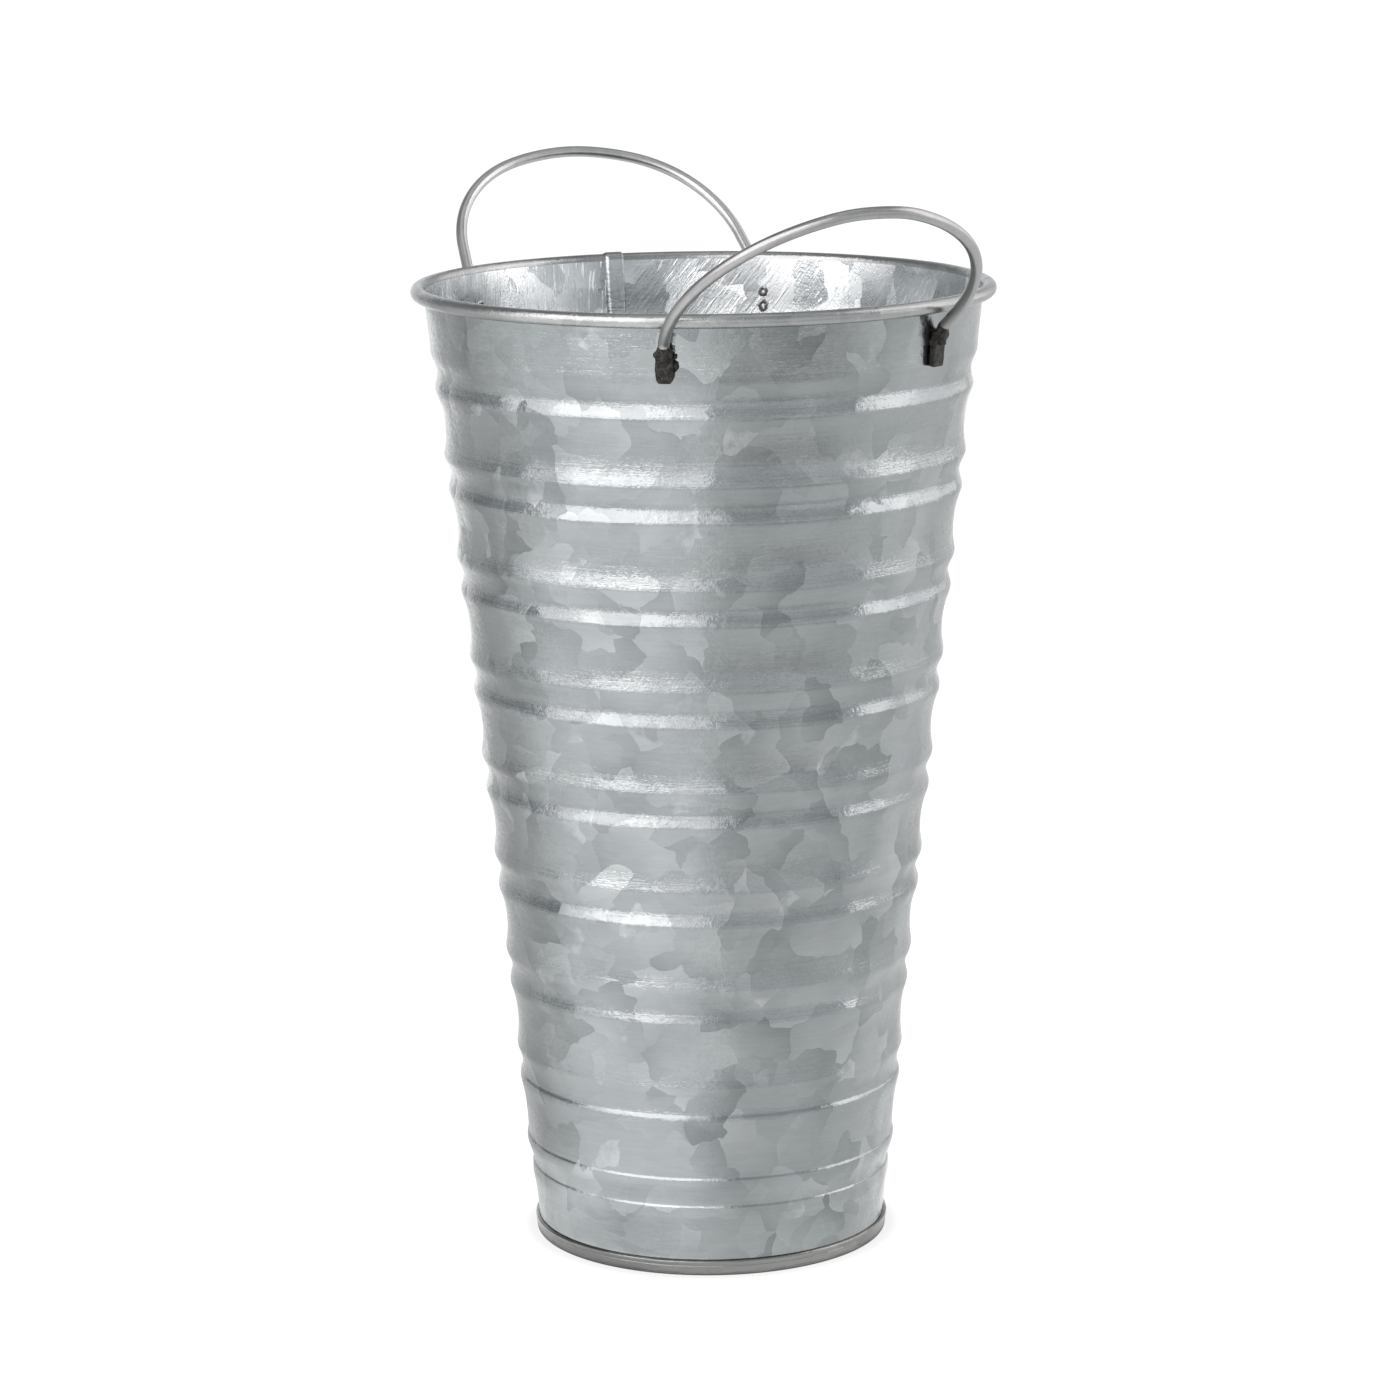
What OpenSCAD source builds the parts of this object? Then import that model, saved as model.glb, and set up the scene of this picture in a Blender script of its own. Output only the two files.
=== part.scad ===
// Tall tapered florist bucket of galvanised sheet. The wall has rolled grooves, a wired rim and a
// lock seam, the base pan is double seamed to its foot, and two wire handles are spot welded on.
// The frame: +Z up, z = 0 on the floor, the origin on the bucket's axis, handles on +X and -X.

/* [Body] */
// Outer diameter over the rolled rim
rim_outer_d = 180; // [160:1:200]
// Height from the floor to the top of the rim
body_h = 301.5; // [300:0.5:340]
// Outer diameter of the plain wall, where its cone would meet the floor
foot_d = 108.4; // [96:0.2:112]
// Thickness of the galvanised sheet
sheet = 0.4; // [0.3:0.05:0.45]

/* [Grooves] */
// Number of narrow grooves rolled into the wall
groove_count = 9; // [3:1:9]
// Distance between two grooves
groove_pitch = 31.36; // [28:0.02:31.4]
// Height of the top groove's centre
top_groove_z = 275; // [274:0.5:276]
// Width of a narrow groove, crest to crest
groove_w = 10.6; // [9:0.2:12]
// Depth of a narrow groove
groove_depth = 1.8; // [0.5:0.1:2]
// Depth of the wide panels between the grooves
panel_depth = 1.7; // [0.5:0.1:2]
// Share of those depths that is left at the foot
foot_share = 0.4; // [0.2:0.05:1]
// Swelling of the crests just above the lowest groove
foot_swell = 0.8; // [0:0.1:1]

/* [Rim and seams] */
// Diameter of the stiffening wire inside the rim
rim_wire_d = 3.5; // [2.8:0.1:3.8]
// Height of the base panel's underside above the floor
base_recess = 6; // [5.5:0.5:10]
// Height of the double seam that joins the base to the wall
foot_seam_h = 4.9; // [4:0.1:5]
// Width of the lock seam down the inside of the wall
side_seam_w = 5; // [3:0.5:8]
// Direction of the lock seam, round from the right handle
side_seam_at = 176.5; // [150:0.5:205]

/* [Handles] */
// Diameter of the handle wire
handle_wire_d = 3.6; // [3:0.1:4]
// Direction of the right handle and of the left one, round from +X
handle_at = [0, 178.6]; // [-2:0.1:182]
// Angle between the two feet of each handle
feet_angle = [61.6, 70]; // [60:0.2:72]
// Height of each handle's bend, where the wire turns away from the wall
bend_z = [292.4, 291.6]; // [291:0.1:293]
// Radius of the bend, on the wire's centre line
bend_r = 5; // [4:0.5:6]
// Outward lean of each handle from upright
handle_lean = [52, 48.5]; // [48:0.5:55]
// Height of the shoulders' centres above the bend, along the lean
leg_l = [14.4, 17.6]; // [13:0.2:22]
// Half of each handle's width across the shoulders
shoulder_half_w = [46.6, 48]; // [45:0.2:49]
// Radius of each handle's shoulders
shoulder_r = [53, 43]; // [40:0.5:56]
// Angle through which each shoulder turns before the crown begins
shoulder_turn = [66, 68]; // [55:1:70]

/* [Welded feet] */
// Height of the middle of a flattened foot
pad_z = 286.6; // [286:0.1:287]
// Length of a flattened foot
pad_l = 11; // [9:0.5:11.5]
// Width of a flattened foot
pad_w = 5.2; // [4.6:0.1:6]
// Thickness of a flattened foot
pad_t = 2; // [1.6:0.1:2.4]
// Diameter of the metal squeezed out at one spot weld
weld_d = 6.4; // [6:0.1:6.4]
// Distance between the two spot welds of a foot
weld_pitch = 4.5; // [4:0.1:4.5]

/* [Hidden] */
$fn = 96;

play = 0.03;                // gap between two sheets that touch
layer = sheet + play;       // distance from one folded sheet to the next
galvanised = [0.72, 0.75, 0.77];
steel = [0.60, 0.60, 0.59];
scorched = [0.16, 0.16, 0.16];
arc_steps = 6;              // straight pieces in a quarter or half turn of sheet
rim_steps = 26;             // straight pieces in the rim's curl

// The rim's curl round its wire; its raw edge stops short of the wall.
curl_r = rim_wire_d / 2 + play + sheet / 2;
bead_r = curl_r + sheet / 2;
bead_at = [rim_outer_d / 2 - bead_r, body_h - bead_r];
curl_end = -135;

// The cone of the plain wall's outer face, from the foot up to the inner side of the rim.
taper = (bead_at[0] - bead_r + sheet - foot_d / 2) / bead_at[1];
taper_angle = atan(taper);

shoulder_share = 0.38;      // share of a panel's width that slopes, at each side
panel_slope_w = (groove_pitch - groove_w) * shoulder_share;
grooves_bottom_z = top_groove_z - (groove_count - 1) * groove_pitch - groove_w / 2;
grooves_top_z = top_groove_z + groove_w / 2;
profile_step = groove_pitch / 18;
full_depth_z = 110;         // from here up the grooves have their full depth
swell_from = 14;
swell_full = 29;
swell_end = 84;

seam_low_z = sheet / 2 + 2 * layer;              // centre of the wall's fold in the double seam
seam_top_z = foot_seam_h - sheet / 2 - layer;    // centre of the base's fold in the double seam
base_corner_r = 1.2;
base_corner_z = base_recess + sheet / 2 - base_corner_r;

weld_gap = 0.25;            // gap between a flattened foot and the wall
weld_rise = 0.9;            // how far the squeezed-out metal stands up from the wall
wire_off = weld_gap + handle_wire_d / 2;         // from the wall to the wire's centre line
stub_l = 3;                 // round wire below the top end of a flattened foot

// A handle is joined from bends and straight lengths in turn. The straight lengths and the crown
// are a hair thinner and run a little way into the bends at their ends.
slim = 0.02;
lap = 0.2;

// A smooth rise from 0 to 1 as t goes from 0 to 1.
function rise(t) = (1 - cos(180 * min(1, max(0, t)))) / 2;

// Outer radius of the plain wall at height z.
function cone_r(z) = foot_d / 2 + taper * z;

// Distance from height z to the nearest groove's centre.
function from_groove(z) =
    let (below = top_groove_z - z, i = min(groove_count - 1, max(0, round(below / groove_pitch))))
    abs(below - i * groove_pitch);

// How far the wall is pressed in at height z, by a groove or by the panel beside it.
function press(z) =
    let (d = from_groove(z), half = groove_w / 2)
    z > grooves_top_z || z < grooves_bottom_z ? 0
    : d < half ? groove_depth * rise(1 - d / half)
    : panel_depth * rise((d - half) / panel_slope_w);

// Outer radius of the finished wall at height z.
function wall_r(z) =
    let (share = min(1, foot_share + (1 - foot_share) * z / full_depth_z),
         swell = rise((z - swell_from) / (swell_full - swell_from))
             * (1 - rise((z - swell_full) / (swell_end - swell_full))))
    cone_r(z) + foot_swell * swell - share * press(z);

// Points on an arc round a centre, from one angle to another.
function arc(centre, r, from, to, steps) =
    [for (i = [0 : steps]) let (a = from + (to - from) * i / steps) centre + r * [cos(a), sin(a)]];

// Closed outline of a sheet whose middle follows a path, with mitred corners.
function unit(v) = v / norm(v);
function left_of(a, b) = let (d = unit(b - a)) [-d[1], d[0]];
function miter(path, i) =
    let (last = len(path) - 1,
         before = left_of(path[max(0, i - 1)], path[max(1, i)]),
         after = left_of(path[min(last - 1, i)], path[min(last, i + 1)]))
    (before + after) / (1 + before * after);
function sheet_outline(path) =
    let (last = len(path) - 1)
    concat([for (i = [0 : last]) path[i] + miter(path, i) * sheet / 2],
           [for (i = [last : -1 : 0]) path[i] - miter(path, i) * sheet / 2]);

// A point on a layer of the double seam: 0 the base's inner flange, 1 the wall, 2 the base's hook,
// 3 the wall's hook and 4 the outside of the seam.
function seam_at(k, z) = [cone_r(z) - sheet / 2 + (k - 1) * layer, z];

wall_path = concat(
    [seam_at(3, seam_top_z)],
    arc(seam_at(2, seam_low_z), layer, 0, -180, arc_steps),
    [seam_at(1, foot_seam_h)],
    [for (z = [grooves_bottom_z : profile_step : grooves_top_z]) [wall_r(z) - sheet / 2, z]],
    arc(bead_at, curl_r, 180, curl_end, rim_steps));

base_path = concat(
    [[0, base_recess + sheet / 2]],
    arc(seam_at(0, base_corner_z) - [base_corner_r, 0], base_corner_r, 90, 0, arc_steps),
    arc(seam_at(1, sheet / 2 + layer), layer, 180, 270, arc_steps),
    arc(seam_at(3, sheet / 2 + layer), layer, 270, 360, arc_steps),
    arc(seam_at(3, seam_top_z), layer, 0, 180, arc_steps),
    [seam_at(2, seam_low_z)]);

module wall() {
    color(galvanised) union() {
        rotate_extrude() polygon(sheet_outline(wall_path));
        rotate(side_seam_at) side_seam();
    }
}

// The two edges of the sheet, hooked together and pressed flat on the inside of the wall.
module side_seam() {
    folds = 4;
    zs = concat([base_recess + 2 * sheet, foot_seam_h + base_recess],
        [for (z = [grooves_bottom_z : profile_step : grooves_top_z]) z],
        [bead_at[1]]);
    inner = [for (z = zs) [wall_r(z) - folds * sheet, z]];
    outer = [for (i = [len(zs) - 1 : -1 : 0]) [wall_r(zs[i]) - sheet / 2, zs[i]]];
    intersection() {
        rotate_extrude() polygon(concat(inner, outer));
        translate([0, -side_seam_w / 2, 0]) cube([rim_outer_d / 2, side_seam_w, body_h]);
    }
}

module rim_wire() {
    color(steel) rotate_extrude() translate(bead_at) circle(d = rim_wire_d);
}

module base_pan() {
    color(galvanised) rotate_extrude() polygon(sheet_outline(base_path));
}

// Moves its children to a foot of handle k, on the side s of the handle: the origin is on the
// wall's outer face, +X points out of the wall and +Z runs up it.
module at_foot(k, s) {
    rotate(handle_at[k] + s * feet_angle[k] / 2)
        translate([cone_r(pad_z), 0, pad_z])
            rotate([0, taper_angle, 0])
                children();
}

// The flattened end of the wire: a round section pressed between two flats.
module pad() {
    translate([weld_gap + pad_t / 2, 0, -pad_l / 2])
        linear_extrude(pad_l)
            intersection() {
                circle(d = pad_w);
                square([pad_t, pad_w], center = true);
            }
}

// A straight length of wire from one point to another.
module rod(from, to) {
    d = unit(to - from);
    translate(from - lap * d)
        rotate([0, acos(d[2]), atan2(d[1], d[0])])
            cylinder(h = norm(to - from) + 2 * lap, d = handle_wire_d - 2 * slim);
}

// A bent length of wire: it starts at centre + r * x and turns through the angle towards y.
module bent_rod(centre, x, y, r, angle, d = handle_wire_d) {
    z = cross(x, y);
    multmatrix([for (i = [0 : 2]) [x[i], y[i], z[i], centre[i]]])
        rotate_extrude(angle = angle)
            translate([r, 0])
                circle(d = d);
}

// Half of a handle, on its +Y side: foot, bend, leg and shoulder. The arch lies in a leaning
// plane, in which u runs along Y and v runs up the lean from the bends.
module handle_half(k) {
    half = feet_angle[k] / 2;
    foot_r = cone_r(bend_z[k]) + wire_off / cos(taper_angle);
    corner = [foot_r * cos(half), foot_r * sin(half), bend_z[k]];
    up_wall = [sin(taper_angle) * cos(half), sin(taper_angle) * sin(half), cos(taper_angle)];
    u_dir = [0, 1, 0];
    v_dir = [sin(handle_lean[k]), 0, cos(handle_lean[k])];

    centre_u = shoulder_half_w[k] - shoulder_r[k];
    to_foot = [corner[1] - centre_u, -leg_l[k]];
    leg_end_at = atan2(to_foot[1], to_foot[0]) + acos(min(1, shoulder_r[k] / norm(to_foot)));
    shoulder = [corner[0], centre_u, corner[2]] + leg_l[k] * v_dir;
    leg_end = shoulder + shoulder_r[k] * (cos(leg_end_at) * u_dir + sin(leg_end_at) * v_dir);

    leg_dir = unit(leg_end - corner);
    bend = acos(up_wall * leg_dir);
    bend_l = bend_r * tan(bend / 2);
    inward = unit(leg_dir - (leg_dir * up_wall) * up_wall);
    bend_start = corner - bend_l * up_wall;
    stub_start = corner - up_wall * (bend_z[k] - pad_z - pad_l / 2 + stub_l);

    translate(stub_start) sphere(d = handle_wire_d);
    rod(stub_start, bend_start);
    bent_rod(bend_start + bend_r * inward, -inward, up_wall, bend_r, bend);
    rod(corner + bend_l * leg_dir, leg_end);
    bent_rod(shoulder, cos(leg_end_at) * u_dir + sin(leg_end_at) * v_dir,
        cos(leg_end_at) * v_dir - sin(leg_end_at) * u_dir,
        shoulder_r[k], shoulder_turn[k] - leg_end_at);
}

// The top of a handle's arch, tangent to both shoulders.
module crown(k) {
    half = feet_angle[k] / 2;
    foot_r = cone_r(bend_z[k]) + wire_off / cos(taper_angle);
    turn = shoulder_turn[k];
    centre_u = shoulder_half_w[k] - shoulder_r[k];
    crown_r = shoulder_r[k] + centre_u / cos(turn);
    v = leg_l[k] - centre_u * tan(turn);
    v_dir = [sin(handle_lean[k]), 0, cos(handle_lean[k])];
    start = turn - lap / crown_r * 180 / PI;
    bent_rod([foot_r * cos(half), 0, bend_z[k]] + v * v_dir,
        [0, cos(start), 0] + sin(start) * v_dir, cos(start) * v_dir - [0, sin(start), 0],
        crown_r, 180 - 2 * start, handle_wire_d - 2 * slim);
}

module handle(k) {
    color(steel) union() {
        for (s = [-1, 1]) at_foot(k, s) pad();
        rotate(handle_at[k]) {
            handle_half(k);
            mirror([0, 1, 0]) handle_half(k);
            crown(k);
        }
    }
}

module handle_right() {
    handle(0);
}

module handle_left() {
    handle(1);
}

// Two spot welds under a foot, with the metal that they squeeze out beside it.
module welds(k, s) {
    color(scorched) at_foot(k, s) difference() {
        for (side = [-1, 1])
            translate([0, 0, side * weld_pitch / 2])
                rotate([0, 90, 0])
                    cylinder(h = weld_rise, d = weld_d);
        pad();
    }
}

module welds_right_front() {
    welds(0, -1);
}

module welds_right_back() {
    welds(0, 1);
}

module welds_left_front() {
    welds(1, 1);
}

module welds_left_back() {
    welds(1, -1);
}

wall();
rim_wire();
base_pan();
handle_right();
handle_left();
welds_right_front();
welds_right_back();
welds_left_front();
welds_left_back();
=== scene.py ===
"""Looks for the galvanised florist bucket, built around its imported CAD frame."""
import math

import bmesh
import bpy
import numpy as np
from mathutils import Matrix, Vector, noise


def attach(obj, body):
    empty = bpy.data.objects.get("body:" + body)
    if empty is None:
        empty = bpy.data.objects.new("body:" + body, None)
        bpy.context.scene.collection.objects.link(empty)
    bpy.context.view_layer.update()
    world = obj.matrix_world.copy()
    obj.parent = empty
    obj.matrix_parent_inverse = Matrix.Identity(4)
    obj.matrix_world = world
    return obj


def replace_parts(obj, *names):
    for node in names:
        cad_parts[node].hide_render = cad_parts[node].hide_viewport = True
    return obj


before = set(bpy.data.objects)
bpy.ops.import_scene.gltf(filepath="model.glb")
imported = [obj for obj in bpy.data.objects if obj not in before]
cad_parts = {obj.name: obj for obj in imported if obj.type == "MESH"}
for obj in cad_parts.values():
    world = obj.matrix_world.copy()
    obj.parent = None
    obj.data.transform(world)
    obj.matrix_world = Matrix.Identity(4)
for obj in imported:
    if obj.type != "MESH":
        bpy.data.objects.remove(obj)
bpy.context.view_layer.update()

MM = 0.001
RNG = np.random.default_rng(41)

# ---------------------------------------------------------------- sizes, the same as the CAD, in mm
RIM_R, BODY_H, FOOT_D, SHEET = 90.0, 301.5, 108.4, 0.4
GROOVES, PITCH, TOP_Z, GROOVE_W = 9, 31.36, 275.0, 10.6
GROOVE_DEPTH, PANEL_DEPTH, FOOT_SHARE, FULL_DEPTH_Z = 1.8, 1.7, 0.4, 110.0
WIRE_D, BASE_RECESS, SEAM_H = 3.5, 6.0, 4.9
SEAM_W, SEAM_AT = 5.0, math.radians(176.5)
PLAY = 0.03
LAYER = SHEET + PLAY
CURL_R = WIRE_D / 2 + PLAY + SHEET / 2
BEAD_R = CURL_R + SHEET / 2
BEAD = np.array([RIM_R - BEAD_R, BODY_H - BEAD_R])
CURL_END = math.radians(-135)
TAPER = (BEAD[0] - BEAD_R + SHEET - FOOT_D / 2) / BEAD[1]
TAPER_A = math.atan(TAPER)
LOW_Z = TOP_Z - (GROOVES - 1) * PITCH - GROOVE_W / 2
HIGH_Z = TOP_Z + GROOVE_W / 2
BASE_CORNER_R = 1.2

HANDLE_D = 3.6
HANDLE_AT = [0.0, 178.6]
FEET_ANGLE = [61.6, 70.0]
BEND_Z = [292.4, 291.6]
BEND_R = 5.0
LEAN = [52.0, 48.5]
LEG_L = [14.4, 17.6]
SHOULDER_W = [46.6, 48.0]
SHOULDER_R = [53.0, 43.0]
SHOULDER_TURN = [66.0, 68.0]
PAD_Z, PAD_L, PAD_W, PAD_T = 286.6, 11.0, 5.2, 2.0
WELD_GAP, WELD_PITCH = 0.25, 4.5
# The curl and the wires are drawn a hair inside the CAD's, whose curves are cut into flats.
CURL_INSET, WIRE_INSET = 0.01, 0.03

# ---------------------------------------------------------------- fineness
WALL_ROWS, WALL_COLUMNS, BASE_COLUMNS, CURL_STEPS = 221, 240, 200, 26
WIRE_SIDES, FOOT_SIDES, PRINT_SIDES = 24, 36, 28
MERGE = 1e-7  # metres
UV_UNIT, UV_INSIDE = 100, 9  # mm to a unit of the flat sheet, and how many units right its inside is


# ---------------------------------------------------------------- small tools
def cone_r(z):
    """The cone's outer radius at a height."""
    return FOOT_D / 2 + TAPER * z


def rise(t):
    """A smooth step: 0 up to t = 0, 1 from t = 1 on."""
    return (1 - np.cos(np.pi * np.clip(t, 0, 1))) / 2


def smooth(values, step, sigma):
    """Gaussian smoothing of evenly spaced values; the ends are held."""
    reach = int(4 * sigma / step)  # four sigmas hold the whole bell
    k = np.exp(-0.5 * (np.arange(-reach, reach + 1) * step / sigma) ** 2)
    padded = np.pad(values, reach, mode="edge")
    return np.convolve(padded, k / k.sum(), mode="valid")


def arc(centre, r, start, end, steps):
    """Points of an arc in the section's plane."""
    a = np.linspace(start, end, steps + 1)
    return np.stack([centre[0] + r * np.cos(a), centre[1] + r * np.sin(a)], -1)


def mesh_object(name, verts, faces, uvs=None, floats=None):
    """A smooth-shaded mesh piece in metres from points in mm, riding on the root body.

    uvs has one place on the flat sheet per face corner; floats has named values per point.
    """
    me = bpy.data.meshes.new(name)
    me.from_pydata([tuple(v) for v in np.asarray(verts) * MM], [], [tuple(f) for f in faces])
    if uvs is not None:
        layer = me.uv_layers.new(name="sheet")
        layer.data.foreach_set("uv", np.asarray(uvs, np.float32).ravel())
    for key, values in (floats or {}).items():
        att = me.attributes.new(key, "FLOAT", "POINT")
        att.data.foreach_set("value", np.asarray(values, np.float32))
    me.polygons.foreach_set("use_smooth", [True] * len(me.polygons))
    me.update()
    ob = bpy.data.objects.new(name, me)
    bpy.context.scene.collection.objects.link(ob)
    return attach(ob, "root")


def clean(ob, turn_out=True):
    """Merges points in the same place and, if asked, turns all faces outward."""
    bm = bmesh.new()
    bm.from_mesh(ob.data)
    bmesh.ops.remove_doubles(bm, verts=bm.verts, dist=MERGE)
    if turn_out:
        bmesh.ops.recalc_face_normals(bm, faces=bm.faces)
    bm.to_mesh(ob.data)
    bm.free()


def stitch(rings):
    """Faces of a tube through rings of the same number of points, with both ends closed."""
    n = len(rings[0])
    faces = []
    for i in range(len(rings) - 1):
        for j in range(n):
            k = (j + 1) % n
            faces.append((i * n + j, i * n + k, (i + 1) * n + k, (i + 1) * n + j))
    faces.append(tuple(reversed(range(n))))
    last = (len(rings) - 1) * n
    faces.append(tuple(last + j for j in range(n)))
    return faces


def turn_from(theta, at):
    """The turn from one direction to another, between minus and plus half a turn."""
    return (theta - at + math.pi) % (2 * math.pi) - math.pi


# ---------------------------------------------------------------- the wall's profile
FINE = 0.1
z_fine = np.arange(0, BEAD[1] + FINE, FINE)
# How squarely the grooves and the panels turn into the lips between them.
GROOVE_POWER, PANEL_POWER = 1.6, 2.3
# The wall swells above its foot, and a little at the top groove; the lips stand proud of the cone.
SWELL, TOP_BULGE, LIP_LIFT = 0.8, 0.35, 0.28
LIFT_BLUR, EDGE_BLUR = 1.5, 0.85
# Fine roller creases: height, step.
CREASES = ((22.3, 0.36), (31.6, 0.34), (52.0, 0.26), (61.4, 0.10))
# The wall flares into the rolled seam at its foot: how far, and how fast that fades out.
FLARE, FLARE_FADE = 0.28, 0.8


def lipped_profile():
    """Outer radius at each height of z_fine: crisp lips between narrow grooves and wide panels."""
    below = TOP_Z - z_fine
    k = np.clip(np.round(below / PITCH), 0, GROOVES - 1)
    d = np.abs(below - k * PITCH)
    half = GROOVE_W / 2
    panel_w = PITCH / 2 - half
    groove = GROOVE_DEPTH * (1 - np.clip(d / half, 0, 1) ** GROOVE_POWER)
    into = np.clip((d - half) / panel_w, 0, 1)
    panel = PANEL_DEPTH * (1 - (1 - into) ** PANEL_POWER)
    press = np.where(d < half, groove, panel)
    press[(z_fine > HIGH_Z) | (z_fine < LOW_Z)] = 0
    share = np.minimum(1, FOOT_SHARE + (1 - FOOT_SHARE) * z_fine / FULL_DEPTH_Z)
    swell = rise((z_fine - 14) / 15) * (1 - rise((z_fine - 29) / 55))
    bulge = SWELL * swell + TOP_BULGE * np.exp(-(((z_fine - (TOP_Z - 1)) / 5) ** 2))
    lift = LIP_LIFT * np.where((z_fine > LOW_Z - 2) & (z_fine < HIGH_Z + 2), 1, 0)
    r = cone_r(z_fine) + bulge + smooth(lift, FINE, LIFT_BLUR) - share * press
    return smooth(r, FINE, EDGE_BLUR)


def crease(z0, step, width=0.9, length=6.0):
    """A crisp outward step going down at z0 that fades out above."""
    above = np.clip(z_fine - z0, 0, None)
    return -step * rise((z_fine - z0 + width / 2) / width) * np.exp(-above / length)


r_fine = lipped_profile()
for crease_z, crease_step in CREASES:
    r_fine = r_fine + crease(crease_z, crease_step)
# The grooves and creases fade out where the sheet is held by the seam and by the curl.
hold = rise((z_fine - (SEAM_H + 0.5)) / 5) * rise((BEAD[1] - 1.5 - z_fine) / 4)
r_fine = cone_r(z_fine) * (1 - hold) + r_fine * hold
flare = FLARE * np.exp(-np.clip(z_fine - SEAM_H, 0, None) / FLARE_FADE)
r_fine = r_fine + flare * (z_fine > SEAM_H - FINE / 2)


def seam_at(k, z):
    """A point on a layer of the double seam: 1 is the wall, 4 the outside, as in the CAD."""
    return np.array([cone_r(z) - SHEET / 2 + (k - 1) * LAYER, z])


SEAM_LOW = SHEET / 2 + 2 * LAYER
SEAM_TOP = SEAM_H - SHEET / 2 - LAYER


def wall_rows(count):
    """Heights for the wall's rings, closer together where the profile bends."""
    bend = np.abs(np.gradient(np.gradient(r_fine, FINE), FINE))
    sharp_bend, extra = 0.35, 9
    weight = 1 + extra * smooth(bend, FINE, 0.6) / sharp_bend
    ok = (z_fine >= SEAM_H + 0.1) & (z_fine <= BEAD[1])
    grow = np.cumsum(weight * ok)
    picks = np.linspace(grow[ok][0], grow[-1], count)
    return np.interp(picks, grow[ok], z_fine[ok])


def side_points(path, side):
    """The path moved half the sheet to its left (side 1) or right (side -1)."""
    t = np.gradient(path, axis=0)
    t /= np.linalg.norm(t, axis=1)[:, None]
    return path + side * SHEET / 2 * np.stack([-t[:, 1], t[:, 0]], -1)


# Low waves, dents and flutes keep the sheet from being a perfect turned shape.
# Each dent: direction, height, size, depth.
DENT_RANGES = ((-math.pi, math.pi), (14, 284), (4.5, 11), (-0.13, 0.10))
DENT_COUNT = 110
DENTS = [[RNG.uniform(low, high) for low, high in DENT_RANGES] for _ in range(DENT_COUNT)]
# Long waves: how many round the bucket, where they start, height of a wave's lean, depth.
WAVES = ((2, 0.7, 95, 0.10), (3, 2.1, -60, 0.08), (5, 0.0, 41, 0.05), (9, 1.3, -23, 0.03))
# Soft upright flutes: direction of the middle, half width in radians, depth.
FLUTES = ((0.76, 0.40, 0.12), (-1.10, 0.30, 0.05), (-2.6, 0.5, 0.06))
FLUTES_ROUND, FLUTE_BEAT = 27, 15.7


def wander(theta, z):
    """How far the real sheet strays from the turned shape."""
    wave = sum(depth * np.sin(n * theta + start + z / lean) for n, start, lean, depth in WAVES)
    for at, height, size, depth in DENTS:
        dist = (turn_from(theta, at) * cone_r(height)) ** 2 * 0.45 + (z - height) ** 2
        wave = wave + depth * np.exp(-dist / (2 * size**2))
    for at, half, depth in FLUTES:
        upright = np.sin(FLUTES_ROUND * theta + 0.9 + 0.9 * np.sin(z / 33))
        upright = upright * (0.7 + 0.3 * np.sin(z / FLUTE_BEAT + 1))
        wave = wave + depth * upright * np.exp(-((turn_from(theta, at) / half) ** 2))
    # Still at the foot and at the rim, which are held.
    return wave * rise((z - 7) / 12) * rise((294 - z) / 8)


def seam_line(theta, z):
    """The lock seam's edge shows outside as a fine pressed line."""
    depth, half = 0.22, 0.45
    across = turn_from(theta, SEAM_AT) * cone_r(z)
    line = -depth * np.exp(-((across / half) ** 2))
    # It fades out at the foot and under the rim.
    return line * rise((z - 6) / 3) * rise((296 - z) / 3)


def columns(count):
    """Angles all round from the lock seam, with more of them beside the seam."""
    even = np.linspace(0, 2 * math.pi, count + 1)[:-1]
    close = np.radians([0.2, 0.4, 0.7, 1.0])
    extra = np.concatenate([close, 2 * math.pi - close])
    return np.sort(np.concatenate([even, extra])) + SEAM_AT


def turned(name, loop, lengths, angles, faces_out, bend):
    """A sheet turned round the axis. loop is its closed section, lengths the way along the sheet.

    faces_out tells which rows are its outside. Its UV map lays the cone out flat.
    """
    n, m = len(loop), len(angles)
    th, r = np.meshgrid(angles, loop[:, 0])
    z = np.repeat(loop[:, 1][:, None], m, 1)
    r = r + bend(th, z)
    verts = np.stack([r * np.cos(th), r * np.sin(th), z], -1).reshape(-1, 3)
    i = np.arange(n)[:, None]
    j = np.arange(m)[None, :]
    a, b = i * m + j, i * m + (j + 1) % m
    c, d = (i + 1) % n * m + (j + 1) % m, (i + 1) % n * m + j
    quads = np.stack([a, b, c, d], -1).reshape(-1, 4)
    turn = np.append(angles, angles[0] + 2 * math.pi) - SEAM_AT
    spread = math.sin(TAPER_A)  # of a full turn, once it lies flat
    apex = FOOT_D / 2 / spread

    def flat(row, col):
        rho = apex + lengths[row]
        phi = turn[col] * spread - math.pi * spread
        across = rho * np.sin(phi) / UV_UNIT + np.where(faces_out[row], 0, UV_INSIDE)
        return np.stack([across, (rho * np.cos(phi) - apex) / UV_UNIT], -1)

    row = np.broadcast_to(i, (n, m))
    row2 = np.broadcast_to((i + 1) % n, (n, m))
    col = np.broadcast_to(j, (n, m))
    uv = np.stack([flat(row, col), flat(row, col + 1), flat(row2, col + 1), flat(row2, col)], 2)
    return mesh_object(name, verts, quads, uv.reshape(-1, 2))


def lengths_of(path):
    """The way along a path to each of its points."""
    step = np.linalg.norm(np.diff(path, axis=0), axis=1)
    return np.concatenate([[0], np.cumsum(step)])


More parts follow.
